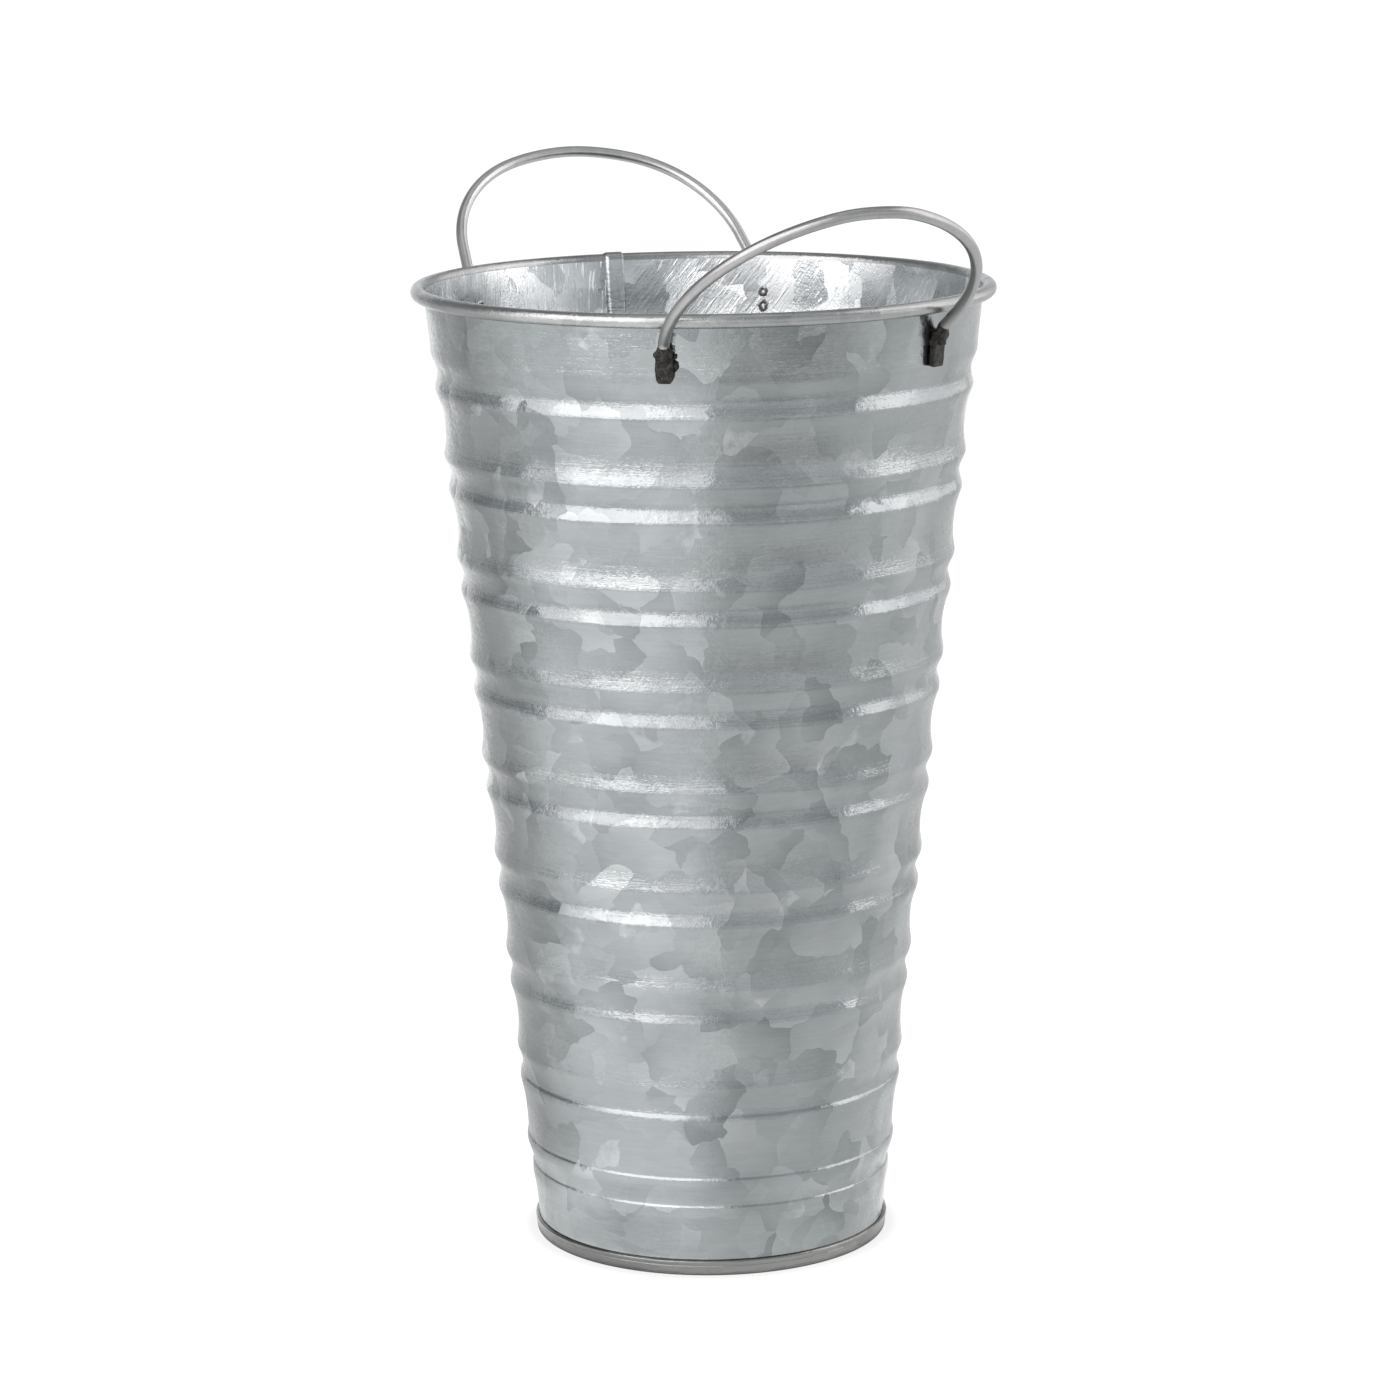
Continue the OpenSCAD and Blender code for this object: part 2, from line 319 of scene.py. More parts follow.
def two_sided(path, thin, full_from=10**6):
    """Closed section of a sheet along a path, and the way along it.

    Also how many of its points are on the path's right side, which is the outside of the bucket.
    The left side keeps every thin-th point, and all of them from full_from on.
    """
    s = lengths_of(path)
    left, right = side_points(path, 1), side_points(path, -1)
    at = np.arange(len(path))
    keep = at[(at % thin == 0) | (at >= full_from) | (at == len(path) - 1)][::-1]
    loop = np.concatenate([right, left[keep]])
    lengths = np.concatenate([s, s[keep]])
    return loop, lengths, len(path)


# ---------------------------------------------------------------- pieces: wall, lock seam and base
rows_z = wall_rows(WALL_ROWS)
wall_path = np.concatenate([
    [seam_at(3, SEAM_TOP)],
    arc(seam_at(2, SEAM_LOW), LAYER, 0, -math.pi, 6),
    [seam_at(1, SEAM_H - 0.1)],
    np.stack([np.interp(rows_z, z_fine, r_fine) - SHEET / 2, rows_z], -1),
    arc(BEAD, CURL_R - CURL_INSET, math.pi, CURL_END, CURL_STEPS)[1:],
])
loop, wall_lengths, cut = two_sided(wall_path, 2, len(wall_path) - CURL_STEPS - 2)
outer_side = np.arange(len(loop)) < cut
wall_curl_from = lengths_of(wall_path)[-CURL_STEPS - 1]
wall_columns = columns(WALL_COLUMNS)
wall = turned(
    "wall_sheet", loop, wall_lengths, wall_columns, outer_side,
    lambda th, z: wander(th, z) + seam_line(th, z),
)
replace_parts(wall, "wall")


def lock_seam():
    """The sheet's folded edges: a flat strip up the inside of the wall and over the rolled rim."""
    half = SEAM_W / 2 + 0.4  # with its rounded flanks
    # Across the strip, height above the sheet; the ends are sunk into it.
    section = [
        (-half - 0.3, -0.3), (-half - 0.28, 0.12), (-half, 0.55), (-half + 0.45, 0.95),
        (-half + 1.0, 1.06), (-0.4, 1.02), (0.6, 1.05), (half - 0.75, 1.1),
        (half - 0.35, 1.04), (half - 0.1, 0.85), (half, 0.55), (half + 0.02, -0.3),
    ]
    over_rim = arc(BEAD, CURL_R, math.pi, math.radians(40), 14)[1:]
    strip_from = 9
    on_wall = np.arange(len(wall_path)) < len(wall_path) - CURL_STEPS
    wall_part = wall_path[(wall_path[:, 1] > strip_from) & on_wall][::2]
    low = [[cone_r(z) - SHEET / 2, z] for z in (BASE_RECESS + 0.9, SEAM_H + 3)]
    path = np.concatenate([low, wall_part, over_rim])
    inner = side_points(path, 1)
    normal = (inner - path) / (SHEET / 2)
    along = lengths_of(path)
    rings, n = [], len(section)
    for i, (r0, z0) in enumerate(inner):
        past = max(0, i - (len(path) - len(over_rim)))
        flat = 1 - 0.72 * float(rise(past / (len(over_rim) - 1.0)))  # rolled flatter over the rim
        shift = float(wander(np.array(SEAM_AT), np.array(min(z0, BEAD[1]))))
        ripple = 0.05 * math.sin(along[i] / 7.0) + 0.04 * math.sin(along[i] / 3.1 + 1)
        ring = []
        for x, h in section:
            lift = (h + (ripple if h > 0.5 else 0)) * (flat if h > 0 else 1)
            r = r0 + shift + normal[i][0] * lift
            th = SEAM_AT - x / r
            ring.append((r * math.cos(th), r * math.sin(th), z0 + normal[i][1] * lift))
        rings.append(ring)
    faces = stitch(rings)
    uvs = [
        (section[v % n][0] / UV_UNIT + UV_INSIDE, along[v // n] / UV_UNIT)
        for face in faces for v in face
    ]
    ob = mesh_object("lock_seam", np.concatenate(rings), faces, uvs)
    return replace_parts(ob, "wall")


seam = lock_seam()

corner_z = BASE_RECESS + SHEET / 2 - BASE_CORNER_R
panel_r = seam_at(0, corner_z)[0] - BASE_CORNER_R
panel_x = np.concatenate([[0, 2, 5], np.linspace(9, panel_r, 22)])
FOLD_IN = 1.8  # layers that the seam's rounded top leans in
fold_turn = np.linspace(0, math.pi / 2, 9)
panel_z = np.full_like(panel_x, BASE_RECESS + SHEET / 2)
base_path = np.concatenate([
    np.stack([panel_x, panel_z], -1)[:-1],
    arc((panel_r, corner_z), BASE_CORNER_R, math.pi / 2, 0, 6),
    arc(seam_at(1, SHEET / 2 + LAYER), LAYER, math.pi, 1.5 * math.pi, 6),
    arc(seam_at(3, SHEET / 2 + LAYER), LAYER, 1.5 * math.pi, 2 * math.pi, 6),
    np.stack([seam_at(4, z) for z in np.linspace(1.2, SEAM_TOP - 0.2, 17)]),
    [seam_at(4 - FOLD_IN * (1 - math.cos(a)), SEAM_TOP + LAYER * math.sin(a)) for a in fold_turn],
    [seam_at(2.03, SEAM_TOP + 0.88 * LAYER), seam_at(2, SEAM_TOP + 0.6 * LAYER)],
    [seam_at(2, SEAM_LOW)],
])


def base_bend(th, z):
    """The rolled seam's outside is slightly uneven, with a roller line in its upper third."""
    line_z, ridge_z = 3.3, 2.85
    roller = -0.13 * np.exp(-(((z - line_z) / 0.22) ** 2))
    roller = roller + 0.05 * np.exp(-(((z - ridge_z) / 0.2) ** 2))
    uneven = 0.035 * np.sin(7 * th + 1) + 0.025 * np.sin(17 * th) + 0.02 * np.sin(31 * th + z)
    return (roller + uneven * rise((SEAM_H - 0.3 - z) / 0.6)) * rise((z - 0.7) / 0.8)


BASE_SHIFT = 400  # mm, so that the base's crystals are not the wall's
loop, lengths, cut = two_sided(base_path, 1)
outer_side_base = np.arange(len(loop)) < cut
base = turned(
    "base_pan_sheet", loop, lengths - BASE_SHIFT, columns(BASE_COLUMNS), outer_side_base, base_bend,
)
clean(base, turn_out=False)
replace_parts(base, "base_pan")


# ---------------------------------------------------------------- pieces: handles
KNEE_STEPS, ARCH_STEPS, CROWN_STEPS, LEG_STEP = 8, 44, 18, 1.5


def unit(v):
    """The direction of a vector."""
    return v / np.linalg.norm(v)


def foot_frame(k):
    """Origin on the wall, outward, sideways and up-the-wall directions of the +Y foot of handle k."""
    half = math.radians(FEET_ANGLE[k] / 2)
    radial = np.array([math.cos(half), math.sin(half), 0])
    z = np.array([0, 0, 1.0])
    out = radial * math.cos(TAPER_A) - z * math.sin(TAPER_A)
    up = radial * math.sin(TAPER_A) + z * math.cos(TAPER_A)
    side = np.array([-math.sin(half), math.cos(half), 0])
    return radial * cone_r(PAD_Z) + z * PAD_Z, out, side, up


def circle_part(centre, x, y, r, start, end, steps):
    """Points on an arc in the plane of x and y."""
    a = np.linspace(start, end, steps + 1)[:, None]
    return centre + r * (np.cos(a) * x + np.sin(a) * y)


def half_line(k):
    """Centre line of half a handle, from the top of its foot to the middle of its crown."""
    half = math.radians(FEET_ANGLE[k] / 2)
    lean = math.radians(LEAN[k])
    foot_r = cone_r(BEND_Z[k]) + (WELD_GAP + HANDLE_D / 2) / math.cos(TAPER_A)
    corner = np.array([foot_r * math.cos(half), foot_r * math.sin(half), BEND_Z[k]])
    origin, out, side, up_wall = foot_frame(k)
    u = np.array([0, 1.0, 0])
    v = np.array([math.sin(lean), 0, math.cos(lean)])
    r, turn = SHOULDER_R[k], math.radians(SHOULDER_TURN[k])
    cu = SHOULDER_W[k] - r
    to_foot = np.array([corner[1] - cu, -LEG_L[k]])
    leg_at = math.atan2(to_foot[1], to_foot[0]) + math.acos(min(1, r / np.linalg.norm(to_foot)))
    shoulder = np.array([corner[0], cu, corner[2]]) + LEG_L[k] * v
    leg_end = shoulder + r * (math.cos(leg_at) * u + math.sin(leg_at) * v)
    leg = unit(leg_end - corner)
    bend = math.acos(up_wall @ leg)
    bend_l = BEND_R * math.tan(bend / 2)
    inward = unit(leg - (leg @ up_wall) * up_wall)
    start = corner - bend_l * up_wall
    knee = circle_part(start + BEND_R * inward, -inward, up_wall, BEND_R, 0, bend, KNEE_STEPS)
    steps = max(2, int(np.linalg.norm(leg_end - knee[-1]) / LEG_STEP))
    straight = knee[-1] + (leg_end - knee[-1]) * np.linspace(0, 1, steps + 1)[1:, None]
    arch = circle_part(shoulder, u, v, r, leg_at, turn, ARCH_STEPS)[1:]
    crown_r = r + cu / math.cos(turn)
    middle = np.array([corner[0], 0, corner[2]]) + (LEG_L[k] - cu * math.tan(turn)) * v
    crown = circle_part(middle, u, v, crown_r, turn, math.pi / 2, CROWN_STEPS)[1:]
    return np.concatenate([knee, straight, arch, crown]), origin, out, side, up_wall


def wire_section():
    """Sideways and outward places of the points round the wire."""
    a = (np.arange(WIRE_SIDES) * 2 + 1) * math.pi / WIRE_SIDES
    r = HANDLE_D / 2 - WIRE_INSET
    return r * np.cos(a), r * np.sin(a)


def flat_foot(k, seed, clip, crisp):
    """Rings of the flattened end of the wire.

    clip narrows its lower end, crisp squares its section and makes it less rough.
    """
    origin, out, side, up = foot_frame(k)
    half, rings = PAD_L / 2, []
    heights = [
        -half, -half, -half + 0.25, -half + 1.0,
        *np.linspace(-half + 1.6, half - 0.9, 13),
        half - 0.3, half, half,
    ]
    a = (np.arange(FOOT_SIDES) + 0.5) * 2 * math.pi / FOOT_SIDES
    for h in heights:
        # Thicker and narrower toward its top, where it grows out of the round wire.
        thick = PAD_T / 2 + 0.78 * float(rise((h - 0.6) / 4.6))
        narrow = clip * (1 - min(1, (h + half) / 1.3)) + 0.30 * float(rise((h - half + 2.4) / 2.4))
        wide = PAD_W / 2 * (1 - narrow)
        first, last = len(rings) == 0, len(rings) == len(heights) - 1
        shrink = 0.55 if first or last else (0.93 if h in (-half, half) else 1.0)
        x = np.sign(np.cos(a)) * np.abs(np.cos(a)) ** (0.36 - crisp) * wide * shrink
        y = np.sign(np.sin(a)) * np.abs(np.sin(a)) ** (0.30 - crisp) * thick * shrink
        rough = np.array([
            (0.20 - crisp) * noise.noise(Vector((u * 0.9 + seed, v * 0.9, h * 0.6)))
            + (0.13 - 0.6 * crisp) * noise.noise(Vector((u * 2.6, v * 2.6 + seed, h * 2.1)))
            for u, v in zip(x, y)
        ])
        grow = 1 + rough / np.hypot(x, y)
        centre = origin + up * h + out * (WELD_GAP + thick)
        rings.append(centre + np.outer(x * grow, side) + np.outer(y * grow, out))
    return rings


def wire_half(k, seed, burn_to):
    """Rings and scorch of half a wire, from inside its foot to the middle of the crown.

    burn_to is how far above the foot the scorch reaches.
    """
    line, origin, out, side, up = half_line(k)
    rings, scorch = [], []
    knee_up = (line[0] - origin) @ up
    x, y = wire_section()
    for h in np.linspace(PAD_L / 2 - 4.2, knee_up - 0.3, 4):
        c = origin + out * (WELD_GAP + HANDLE_D / 2) + up * h
        rings.append(c + np.outer(x, side) + np.outer(y, out))
        scorch.append(1.0)
    b = side
    for i, p in enumerate(line):
        t = unit(line[min(i + 1, len(line) - 1)] - line[max(i - 1, 0)])
        t = up if i == 0 else np.array([0, -1.0, 0]) if i == len(line) - 1 else t
        b = unit(b - (b @ t) * t)
        n = unit(np.cross(t, b))
        wobble = np.array([0, 0, 0.12 * math.sin(i * 0.11 + seed)]) * rise(i / 18.0)
        wobble = wobble * rise((len(line) - 1 - i) / 14.0)
        rings.append(p + wobble + np.outer(x, b) - np.outer(y, n))
        height = (p - origin) @ up - PAD_L / 2
        warm = 0.16 * float(1 - rise((i - 9) / 14.0))
        scorch.append(max(warm, float(1 - rise((height - burn_to) / 1.0))))
    return rings, scorch


def handle_turn(k):
    """The matrix that turns handle k to its side of the bucket."""
    c, s = math.cos(math.radians(HANDLE_AT[k])), math.sin(math.radians(HANDLE_AT[k]))
    return np.array([[c, -s, 0], [s, c, 0], [0, 0, 1]])


def build_handle(k, name, node, seed):
    """One handle: its wire and its two flattened feet."""
    rings, scorch = wire_half(k, seed, burn_to=1.4)
    low_scorch = wire_half(k, seed, burn_to=-0.2)[1]
    mirror = np.array([1, -1, 1.0])
    tube = rings + [r * mirror for r in rings[-2::-1]]
    heat = scorch + low_scorch[-2::-1]
    along = lengths_of(np.array([r.mean(0) for r in tube]))
    parts = [(tube, heat, along)]
    # Each foot: which side, its roughness, how much it is clipped, how crisp it is.
    feet = ((np.ones(3), seed, 0.06, 0.14), (mirror, seed + 4.4, 0.30, 0.0))
    for flip, foot_seed, clip, crisp in feet:
        block = [r * flip for r in flat_foot(k, foot_seed, clip, crisp)]
        parts.append((block, [1.0] * len(block), [0.0] * len(block)))
    verts, faces, burn, way = [], [], [], []
    for part, part_heat, part_way in parts:
        start, n = len(verts), len(part[0])
        faces += [tuple(start + v for v in f) for f in stitch(part)]
        verts += list(np.concatenate(part))
        burn += list(np.repeat(part_heat, n))
        way += list(np.repeat(part_way, n))
    points = np.array(verts) @ handle_turn(k).T
    ob = mesh_object(name, points, faces, floats={"scorch": burn, "along": way})
    clean(ob)
    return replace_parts(ob, node)


handle_r = build_handle(0, "handle_right_wire", "handle_right", 0.4)
handle_l = build_handle(1, "handle_left_wire", "handle_left", 2.2)


# ---------------------------------------------------------------- pieces: spot welds
def weld_metal(name, node, k, sign, lumps, seed):
    """Metal squeezed out beside a foot, and the two electrode prints inside the wall."""
    origin, out, side, up = foot_frame(k)
    flip = np.array([1, sign, 1.0])
    verts, faces, print_on = [], [], []

    def add(points, polys, value):
        start = len(verts)
        verts.extend(points)
        faces.extend([tuple(start + i for i in p) for p in polys])
        print_on.extend(value)

    ball = bmesh.new()
    bmesh.ops.create_icosphere(ball, subdivisions=3, radius=1)
    ball_v = np.array([v.co for v in ball.verts])
    ball_f = [[v.index for v in f.verts] for f in ball.faces]
    ball.free()
    lowest, lifted = -0.12, 0.1
    for across, height, wide, tall, deep in lumps:
        grow = [
            1 + 0.30 * noise.noise(Vector(p * 1.3) + Vector((seed, across, height)))
            + 0.12 * noise.noise(Vector(p * 4.1) + Vector((height, seed, 0)))
            for p in ball_v
        ]
        p = ball_v * np.array(grow)[:, None]
        # x outward, y sideways, z up the wall; the lump's back is flat, just under the sheet's face.
        pts = origin + np.outer(np.maximum(p[:, 0] * deep, lowest) + lifted, out)
        pts = pts + np.outer(p[:, 1] * wide + across, side) + np.outer(p[:, 2] * tall + height, up)
        add(list(pts), ball_f, [0.0] * len(pts))

    # Each print runs out from its middle to its edge, and then back to the middle inside the sheet.
    radii = [0.0, 0.35, 0.7, 0.95, 1.15, 1.35, 1.6, 1.9, 2.15, 0.0]
    ring_r, ring_w, ring_h, base_h, sunk, spread = 1.2, 0.36, 0.30, 0.05, -0.06, 0.92
    for which in (-1, 1):
        centre_h = which * WELD_PITCH / 2
        pts, vals = [], []
        for i, r in enumerate(radii):
            for j in range(PRINT_SIDES):
                a = 2 * math.pi * j / PRINT_SIDES
                c, s = math.cos(a), math.sin(a)
                jag = 1 + 0.42 * noise.noise(Vector((c * 1.2 + seed, s * 1.2, which * 3.0)))
                height = ring_h * math.exp(-(((r - ring_r) / ring_w) ** 2)) + base_h
                height = height if i < len(radii) - 2 else sunk
                y, z = r * jag * spread * c, centre_h + r * jag * spread * s
                inner = -SHEET - height - 0.5 * y * y / cone_r(PAD_Z)
                pts.append(origin + out * inner + side * y + up * z)
                ragged = 1.0 + 1.1 * noise.noise(Vector((c * 1.6, s * 1.6 + seed, which * 5.0)))
                vals.append(min(1.0, ragged) if 0.6 < r < 1.8 else 0.25)
        polys = []
        for i in range(len(radii) - 1):
            for j in range(PRINT_SIDES):
                here, there, k2 = i * PRINT_SIDES, (i + 1) * PRINT_SIDES, (j + 1) % PRINT_SIDES
                polys.append((here + j, there + j, there + k2, here + k2))
        add(pts, polys, vals)

    pts = np.array(verts) * flip @ handle_turn(k).T
    ob = mesh_object(name, pts, faces, floats={"print_ring": print_on})
    clean(ob)
    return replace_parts(ob, node)


# Each lump: sideways place, height on the foot, half width, half height, how far it stands out.
BIG = [
    (-3.0, -0.6, 1.15, 1.7, 1.0), (-2.9, 2.2, 0.75, 0.9, 0.8),
    (2.7, 2.6, 0.7, 1.0, 0.8), (2.5, -1.8, 0.5, 1.3, 0.7),
]
SMALL = [(2.45, -2.0, 0.30, 1.1, 0.30), (-2.4, 1.6, 0.28, 0.9, 0.30)]
welds = [
    weld_metal("weld_right_front_metal", "welds_right_front", 0, -1, BIG, 3.1),
    weld_metal("weld_right_back_metal", "welds_right_back", 0, 1, SMALL, 5.3),
    weld_metal("weld_left_front_metal", "welds_left_front", 1, 1, SMALL, 7.7),
    weld_metal("weld_left_back_metal", "welds_left_back", 1, -1, BIG, 9.2),
]


# ---------------------------------------------------------------- materials
class Nodes:
    """Shorthand for building a node tree."""

    def __init__(self, tree):
        self.nt = tree

    def put(self, socket, value):
        if isinstance(value, bpy.types.NodeSocket):
            self.nt.links.new(value, socket)
        else:
            socket.default_value = value

    def node(self, kind, props=None, **inputs):
        n = self.nt.nodes.new("ShaderNode" + kind)
        for key, value in (props or {}).items():
            setattr(n, key, value)
        for key, value in inputs.items():
            self.put(n.inputs[key.replace("_", " ")], value)
        return n

    def math(self, op, a, b=0.0, c=0.0, clamp=False):
        n = self.nt.nodes.new("ShaderNodeMath")
        n.operation, n.use_clamp = op, clamp
        for socket, value in zip(n.inputs, (a, b, c)):
            self.put(socket, value)
        return n.outputs[0]

    def vec(self, op, a, b=(0, 0, 0), scale=None):
        n = self.nt.nodes.new("ShaderNodeVectorMath")
        n.operation = op
        self.put(n.inputs[0], a)
        self.put(n.inputs[1], b)
        if scale is not None:
            self.put(n.inputs["Scale"], scale)
        return n.outputs["Value" if op in ("DOT_PRODUCT", "LENGTH") else "Vector"]

    def ramp(self, value, low, high, a=0.0, b=1.0):
        """Smoothly from a, where value is low, to b, where it is high."""
        n = self.nt.nodes.new("ShaderNodeMapRange")
        n.interpolation_type = "SMOOTHSTEP"
        names = ("Value", "From Min", "From Max", "To Min", "To Max")
        for key, v in zip(names, (value, low, high, a, b)):
            self.put(n.inputs[key], v)
        return n.outputs["Result"]

    def noise(self, vector, scale, detail=2.0, rough=0.5, out="Fac"):
        n = self.node("TexNoise", Vector=vector, Scale=scale, Detail=detail, Roughness=rough)
        return n.outputs[out]

    def mix(self, fac, a, b):
        n = self.nt.nodes.new("ShaderNodeMix")
        n.data_type = "RGBA"
        self.put(n.inputs[0], fac)
        self.put(n.inputs[6], a)
        self.put(n.inputs[7], b)
        return n.outputs[2]

    def cells(self, at, scale):
        return self.node("TexVoronoi", {"voronoi_dimensions": "2D"}, Vector=at, Scale=scale)

    def centred(self, colour):
        return self.vec("SUBTRACT", colour, (0.5, 0.5, 0.5))

    def place(self):
        return self.node("TexCoord").outputs["Object"]

    def stored(self, name):
        """A value that the mesh has at each point."""
        return self.node("Attribute", {"attribute_name": name}).outputs["Fac"]

    def bump(self, height, **more):
        inputs = {"Strength": 0.5, "Distance": 0.0002, "Height": height, **more}
        return self.node("Bump", **inputs).outputs[0]

    def set(self, **inputs):
        for key, value in inputs.items():
            self.put(self.bsdf.inputs[key.replace("_", " ")], value)


def surface(name):
    """A new material, ready for its nodes."""
    mat = bpy.data.materials.new(name)
    mat.use_nodes = True
    m = Nodes(mat.node_tree)
    m.mat, m.bsdf = mat, mat.node_tree.nodes["Principled BSDF"]
    return m


def tinted(rgb, tone, tint=(1, 1, 1)):
    """A colour made lighter or darker by tone, and coloured by tint."""
    return tuple(c * tone * k for c, k in zip(rgb, tint)) + (1,)


ZINC_DARK, ZINC_LIGHT, ZINC_FROST = (0.186, 0.203, 0.208), (0.372, 0.395, 0.401), (0.80, 0.83, 0.85)
# What warps the crystals' borders: scale, detail, amount.
WARPS = ((1.7, 2, 0.30), (7.0, 1, 0.10), (16.0, 1, 0.030), (45.0, 2, 0.008))


def crystals(m, uv, grain, shift):
    """Leaves, the crystals that they make up, and the way from each crystal's seed.

    Each crystal is a union of whole leaves, so its border is lobed.
    """
    p = uv
    for scale, detail, amount in WARPS:
        warp = m.centred(m.noise(uv, scale, detail, out="Color"))
        p = m.vec("ADD", p, m.vec("SCALE", warp, scale=amount))
    leaf_from, crystal_from = (7.4 + shift, 5.2, 0), (3.1 - shift, 1.7, 0)
    leaf = m.cells(m.vec("ADD", p, leaf_from), grain * 2.5)
    leaf_at = m.vec("SUBTRACT", leaf.outputs["Position"], leaf_from)
    lobed = m.vec("ADD", m.vec("SCALE", leaf_at, scale=0.72), m.vec("SCALE", p, scale=0.28))
    crystal = m.cells(m.vec("ADD", lobed, crystal_from), grain)
    local = m.vec("SUBTRACT", m.vec("ADD", p, crystal_from), crystal.outputs["Position"])
    return leaf, crystal, local


def galvanised(
    name, grain=6.0, tone=1.0, tint=(1, 1, 1), contrast=1.0, roughness=0.12,
    tilt=0.13, rise_tilt=0.35, grit=0.07, scratch=0.0, shift=0.0,
):
    """Hot-dip zinc: leafy crystals with ragged borders, each with its own tone, gloss and tilt.

    grain is the number of crystals in 100 mm, and contrast how much they differ. tilt turns their
    faces, rise_tilt is how much of that is up or down, and grit is the tilt of the finest grains.
    scratch adds bright slanted scratches and slants the streaks. shift chooses other crystals.
    """
    m = surface(name)
    uv = m.node("UVMap", {"uv_map": "sheet"}).outputs[0]
    leaf, crystal, local = crystals(m, uv, grain, shift)
    crystal_turn, leaf_turn = m.centred(crystal.outputs["Color"]), m.centred(leaf.outputs["Color"])
    lean = m.math("MULTIPLY", m.vec("DOT_PRODUCT", local, crystal_turn), grain * 2.2)
    crystal_pick = m.node("SeparateColor", Color=crystal.outputs["Color"]).outputs
    leaf_pick = m.node("SeparateColor", Color=leaf.outputs["Color"]).outputs
    leafy = m.math("MULTIPLY_ADD", m.math("GREATER_THAN", crystal_pick[2], 0.45), 0.65, 0.35)

    if scratch:
        slant = m.node("Mapping", Vector=uv, Rotation=(0, 0, math.radians(-21.7))).outputs[0]
        streak_at = m.vec("MULTIPLY", slant, (120, 4, 1))
        dash_at = m.vec("MULTIPLY", slant, (95, 12, 1))
    else:
        streak_at = m.vec("MULTIPLY", m.place(), (14, 14, 900))
        dash_at = m.vec("MULTIPLY", m.place(), (120, 120, 1100))
    streak = m.noise(streak_at, 1.0, 3, 0.6)
    dash = m.noise(dash_at, 1.0, 3, 0.7)
    haze = m.noise(uv, 5.0, 4, 0.6)
    speck = m.noise(uv, 130.0, 2, 0.7)

    def add(value, amount, t, clamp=False):
        """t with a value that swings round 0.5 added."""
        return m.math("MULTIPLY_ADD", m.math("SUBTRACT", value, 0.5), amount * contrast, t, clamp)

    t = add(crystal_pick[0], 0.17, 0.5)
    t = m.math("MULTIPLY_ADD", lean, 0.44 * contrast, t)
    leaf_share = m.math("MULTIPLY", leafy, 0.18 * contrast)
    t = m.math("MULTIPLY_ADD", m.math("SUBTRACT", leaf_pick[0], 0.5), leaf_share, t)
    t = add(haze, 0.35, t)
    t = add(streak, 0.14, t)
    t = add(dash, 0.32, t)
    t = add(speck, 0.14, t, clamp=True)
    colour = m.mix(t, tinted(ZINC_DARK, tone, tint), tinted(ZINC_LIGHT, tone, tint))
    # A few leaves are frosty white.
    frost = m.math("MULTIPLY", m.math("GREATER_THAN", leaf_pick[1], 0.95), m.ramp(haze, 0.50, 0.62))
    colour = m.mix(m.math("MULTIPLY", frost, 0.16), colour, (*ZINC_FROST, 1))

    rough = m.math("MULTIPLY_ADD", crystal_pick[1], 0.10, roughness)
    rough = add(haze, 0.14, rough)
    rough = add(streak, 0.10, rough)
    rough = add(dash, 0.20, rough)
    rough = m.math("MULTIPLY_ADD", frost, 0.12, rough)

    share = (1.0, 1.0, rise_tilt)
    grain_turn = m.centred(m.cells(uv, 110.0).outputs["Color"])
    facet = m.node("NewGeometry").outputs["Normal"]
    for turn, amount in (
        (m.vec("MULTIPLY", crystal_turn, share), tilt),
        (m.vec("MULTIPLY", leaf_turn, share), m.math("MULTIPLY", leafy, tilt * 0.4)),
        (grain_turn, grit),
    ):
        facet = m.vec("ADD", facet, m.vec("SCALE", turn, scale=amount))
    height = m.math("MULTIPLY_ADD", dash, 0.6, m.math("MULTIPLY", streak, 0.7))
    height = m.math("MULTIPLY_ADD", speck, 0.75, height)
    if scratch:
        line = m.ramp(m.noise(m.vec("MULTIPLY", slant, (90, 8, 1)), 1.0, 2, 0.6), 0.575, 0.635)
        line = m.math("MULTIPLY", line, m.ramp(m.noise(uv, 2.6, 1), 0.38, 0.55))
        colour = m.mix(m.math("MULTIPLY", line, scratch), colour, (0.86, 0.88, 0.90, 1))
        height = m.math("MULTIPLY_ADD", line, 0.6, height)
    normal = m.bump(height, Normal=m.vec("NORMALIZE", facet))
    m.set(Base_Color=colour, Metallic=1.0, Roughness=rough, Normal=normal)
    return m.mat


